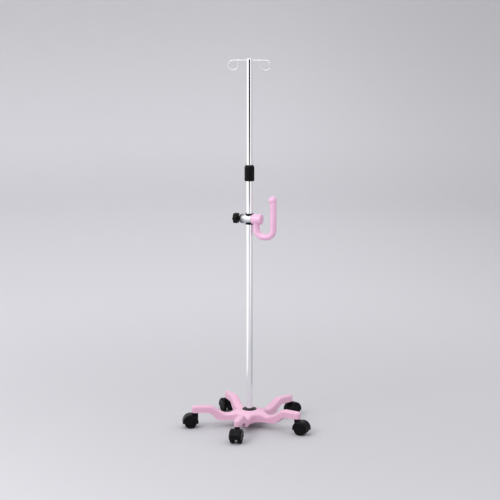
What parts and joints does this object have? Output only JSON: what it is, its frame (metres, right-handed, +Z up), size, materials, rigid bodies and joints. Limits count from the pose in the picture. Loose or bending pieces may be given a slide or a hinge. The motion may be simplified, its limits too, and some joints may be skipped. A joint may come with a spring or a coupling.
{
  "type": "infusion drip stand",
  "caption": "Infusion drip stand: gull-wing base on casters, two-stage pole with a collet lock, bag hooks and a J-shaped push handle on a clamp.",
  "frame": {"origin": "where the pole's axis meets the floor", "axes": "+Z up along the pole; +X to the right of the stand's front view, -Y towards its front arm"},
  "size_m": [0.628, 0.6397, 1.8003],
  "materials": {
    "pink_enamel": "satin powder coat",
    "pink_plastic": "satin moulded",
    "chrome_tube": "polished",
    "clamp_metal": "satin",
    "black_plastic": "moulded",
    "wheel_nylon": "moulded",
    "tread_rubber": "matte",
    "white_nylon": "moulded",
    "zinc_steel": "zinc plated"
  },
  "bodies": {
    "base": {"base_casting": "pink_enamel", "pole_collar": "black_plastic", "lower_pole": "chrome_tube", "pole_foot_plug": "zinc_steel", "base_bolt": "zinc_steel", "base_washer": "zinc_steel", "collet_body": "black_plastic", "front_caster_stem": "zinc_steel", "right_caster_stem": "zinc_steel", "rear_right_caster_stem": "zinc_steel", "rear_left_caster_stem": "zinc_steel", "left_caster_stem": "zinc_steel"},
    "collet_sleeve": {"collet_sleeve": "white_nylon"},
    "collet_nut": {"collet_nut": "black_plastic"},
    "pole_glide": {"pole_glide": "white_nylon"},
    "mast": {"upper_pole": "chrome_tube", "pole_cap": "chrome_tube", "right_bag_hook": "chrome_tube", "left_bag_hook": "chrome_tube"},
    "clamp_liner": {"clamp_liner": "black_plastic"},
    "handle": {"clamp_barrel": "clamp_metal", "clamp_ring": "black_plastic", "handle_grip": "pink_plastic", "handle_ball": "pink_plastic", "handle_bolt": "zinc_steel", "boss_end_cap": "pink_plastic"},
    "clamp_pad": {"clamp_pad": "zinc_steel"},
    "clamp_knob": {"clamp_knob": "black_plastic", "clamp_screw": "zinc_steel"},
    "front_caster": {"front_caster_housing": "black_plastic", "front_caster_axle": "zinc_steel"},
    "front_wheel_a": {"front_caster_wheel_a": "wheel_nylon", "front_caster_tread_a": "tread_rubber"},
    "front_wheel_b": {"front_caster_wheel_b": "wheel_nylon", "front_caster_tread_b": "tread_rubber"},
    "right_caster": {"right_caster_housing": "black_plastic", "right_caster_axle": "zinc_steel"},
    "right_wheel_a": {"right_caster_wheel_a": "wheel_nylon", "right_caster_tread_a": "tread_rubber"},
    "right_wheel_b": {"right_caster_wheel_b": "wheel_nylon", "right_caster_tread_b": "tread_rubber"},
    "rear_right_caster": {"rear_right_caster_housing": "black_plastic", "rear_right_caster_axle": "zinc_steel"},
    "rear_right_wheel_a": {"rear_right_caster_wheel_a": "wheel_nylon", "rear_right_caster_tread_a": "tread_rubber"},
    "rear_right_wheel_b": {"rear_right_caster_wheel_b": "wheel_nylon", "rear_right_caster_tread_b": "tread_rubber"},
    "rear_left_caster": {"rear_left_caster_housing": "black_plastic", "rear_left_caster_axle": "zinc_steel"},
    "rear_left_wheel_a": {"rear_left_caster_wheel_a": "wheel_nylon", "rear_left_caster_tread_a": "tread_rubber"},
    "rear_left_wheel_b": {"rear_left_caster_wheel_b": "wheel_nylon", "rear_left_caster_tread_b": "tread_rubber"},
    "left_caster": {"left_caster_housing": "black_plastic", "left_caster_axle": "zinc_steel"},
    "left_wheel_a": {"left_caster_wheel_a": "wheel_nylon", "left_caster_tread_a": "tread_rubber"},
    "left_wheel_b": {"left_caster_wheel_b": "wheel_nylon", "left_caster_tread_b": "tread_rubber"}
  },
  "joints": [
    {"name": "collet_rise", "type": "slide", "parent": "base", "child": "collet_sleeve", "axis": [0, 0, 1], "range_m": [0, 0.0016]},
    {"name": "collet_turn", "type": "hinge", "parent": "collet_sleeve", "child": "collet_nut", "pos_m": [0, 0, 1.25], "axis": [0, 0, 1], "range_deg": [0, 180]},
    {"name": "pole_height", "type": "slide", "parent": "base", "child": "pole_glide", "axis": [0, 0, 1], "range_m": [-0.43, 0.27]},
    {"name": "pole_turn", "type": "hinge", "parent": "pole_glide", "child": "mast", "pos_m": [0, 0, 0.83], "axis": [0, 0, 1], "range_deg": [-180, 180]},
    {"name": "handle_height", "type": "slide", "parent": "base", "child": "clamp_liner", "axis": [0, 0, 1], "range_m": [-0.8, 0.15]},
    {"name": "handle_swivel", "type": "hinge", "parent": "clamp_liner", "child": "handle", "pos_m": [0, 0, 1.033], "axis": [0, 0, 1], "range_deg": [-180, 180]},
    {"name": "pad_travel", "type": "slide", "parent": "handle", "child": "clamp_pad", "axis": [-0.9205, 0.3907, 0], "range_m": [0, 0.0016]},
    {"name": "knob_turn", "type": "hinge", "parent": "clamp_pad", "child": "clamp_knob", "pos_m": [-0.04603, 0.01954, 1.033], "axis": [-0.9205, 0.3907, 0], "range_deg": [0, 360]},
    {"name": "front_swivel", "type": "hinge", "parent": "base", "child": "front_caster", "pos_m": [-0.0568, -0.25833, 0.07], "axis": [0, 0, 1], "continuous": true},
    {"name": "front_roll_a", "type": "hinge", "parent": "front_caster", "child": "front_wheel_a", "pos_m": [-0.0626, -0.2847, 0.03], "axis": [0.9767, -0.2147, 0], "continuous": true},
    {"name": "front_roll_b", "type": "hinge", "parent": "front_caster", "child": "front_wheel_b", "pos_m": [-0.0626, -0.2847, 0.03], "axis": [0.9767, -0.2147, 0], "continuous": true},
    {"name": "right_swivel", "type": "hinge", "parent": "base", "child": "right_caster", "pos_m": [0.22813, -0.13385, 0.07], "axis": [0, 0, 1], "continuous": true},
    {"name": "right_roll_a", "type": "hinge", "parent": "right_caster", "child": "right_wheel_a", "pos_m": [0.25142, -0.14751, 0.03], "axis": [0.506, 0.8625, 0], "continuous": true},
    {"name": "right_roll_b", "type": "hinge", "parent": "right_caster", "child": "right_wheel_b", "pos_m": [0.25142, -0.14751, 0.03], "axis": [0.506, 0.8625, 0], "continuous": true},
    {"name": "rear_right_swivel", "type": "hinge", "parent": "base", "child": "rear_right_caster", "pos_m": [0.19779, 0.17561, 0.07], "axis": [0, 0, 1], "continuous": true},
    {"name": "rear_right_roll_a", "type": "hinge", "parent": "rear_right_caster", "child": "rear_right_wheel_a", "pos_m": [0.21798, 0.19353, 0.03], "axis": [-0.6639, 0.7478, 0], "continuous": true},
    {"name": "rear_right_roll_b", "type": "hinge", "parent": "rear_right_caster", "child": "rear_right_wheel_b", "pos_m": [0.21798, 0.19353, 0.03], "axis": [-0.6639, 0.7478, 0], "continuous": true},
    {"name": "rear_left_swivel", "type": "hinge", "parent": "base", "child": "rear_left_caster", "pos_m": [-0.10589, 0.24238, 0.07], "axis": [0, 0, 1], "continuous": true},
    {"name": "rear_left_roll_a", "type": "hinge", "parent": "rear_left_caster", "child": "rear_left_wheel_a", "pos_m": [-0.1167, 0.26712, 0.03], "axis": [-0.9164, -0.4003, 0], "continuous": true},
    {"name": "rear_left_roll_b", "type": "hinge", "parent": "rear_left_caster", "child": "rear_left_wheel_b", "pos_m": [-0.1167, 0.26712, 0.03], "axis": [-0.9164, -0.4003, 0], "continuous": true},
    {"name": "left_swivel", "type": "hinge", "parent": "base", "child": "left_caster", "pos_m": [-0.26324, -0.02581, 0.07], "axis": [0, 0, 1], "continuous": true},
    {"name": "left_roll_a", "type": "hinge", "parent": "left_caster", "child": "left_wheel_a", "pos_m": [-0.29011, -0.02845, 0.03], "axis": [0.0976, -0.9952, 0], "continuous": true},
    {"name": "left_roll_b", "type": "hinge", "parent": "left_caster", "child": "left_wheel_b", "pos_m": [-0.29011, -0.02845, 0.03], "axis": [0.0976, -0.9952, 0], "continuous": true}
  ],
  "couplings": [
    {"joint": "collet_rise", "follows": "collet_turn", "m_per_rad": 0.00047746},
    {"joint": "pad_travel", "follows": "knob_turn", "m_per_rad": 0.00023873}
  ]
}
